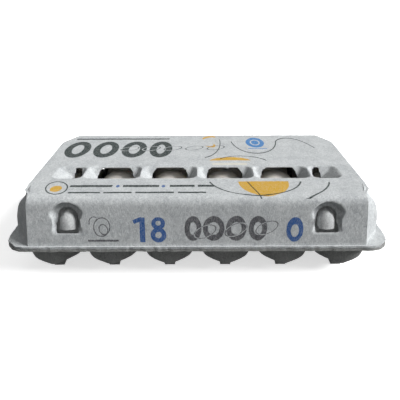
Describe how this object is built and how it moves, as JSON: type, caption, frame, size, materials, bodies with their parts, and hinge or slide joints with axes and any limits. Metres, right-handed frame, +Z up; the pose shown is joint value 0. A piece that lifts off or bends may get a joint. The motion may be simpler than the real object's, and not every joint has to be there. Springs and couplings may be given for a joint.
{
  "type": "egg carton with eggs",
  "caption": "Long moulded-pulp egg carton with a hinged lid, a row of windows, two latch holes and white eggs standing in its cups.",
  "frame": {"origin": "on the surface that the feet stand on, under the middle of the carton's outline", "axes": "+X along the carton's length, +Y from the latch side to the hinge side, +Z up"},
  "size_m": [0.308, 0.1604, 0.075],
  "materials": {
    "tray_pulp": "matt, fibrous moulded pulp",
    "lid_pulp": "matt, fibrous moulded pulp with printed fields",
    "eggshell": "smooth, satin white shell"
  },
  "bodies": {
    "tray": {"tray": "tray_pulp", "locking_flap": "tray_pulp", "egg_row1_col1": "eggshell", "egg_row1_col2": "eggshell", "egg_row1_col3": "eggshell", "egg_row1_col4": "eggshell", "egg_row1_col5": "eggshell", "egg_row1_col6": "eggshell", "egg_row2_col1": "eggshell", "egg_row2_col2": "eggshell", "egg_row2_col3": "eggshell", "egg_row2_col4": "eggshell", "egg_row2_col5": "eggshell", "egg_row2_col6": "eggshell", "egg_row3_col1": "eggshell", "egg_row3_col2": "eggshell", "egg_row3_col3": "eggshell", "egg_row3_col4": "eggshell", "egg_row3_col5": "eggshell", "egg_row3_col6": "eggshell"},
    "lid": {"lid": "lid_pulp"}
  },
  "joints": [
    {"name": "lid_hinge", "type": "hinge", "parent": "tray", "child": "lid", "pos_m": [0, 0.0804, 0.03315], "axis": [-1, 0, 0], "range_deg": [0, 140]}
  ]
}
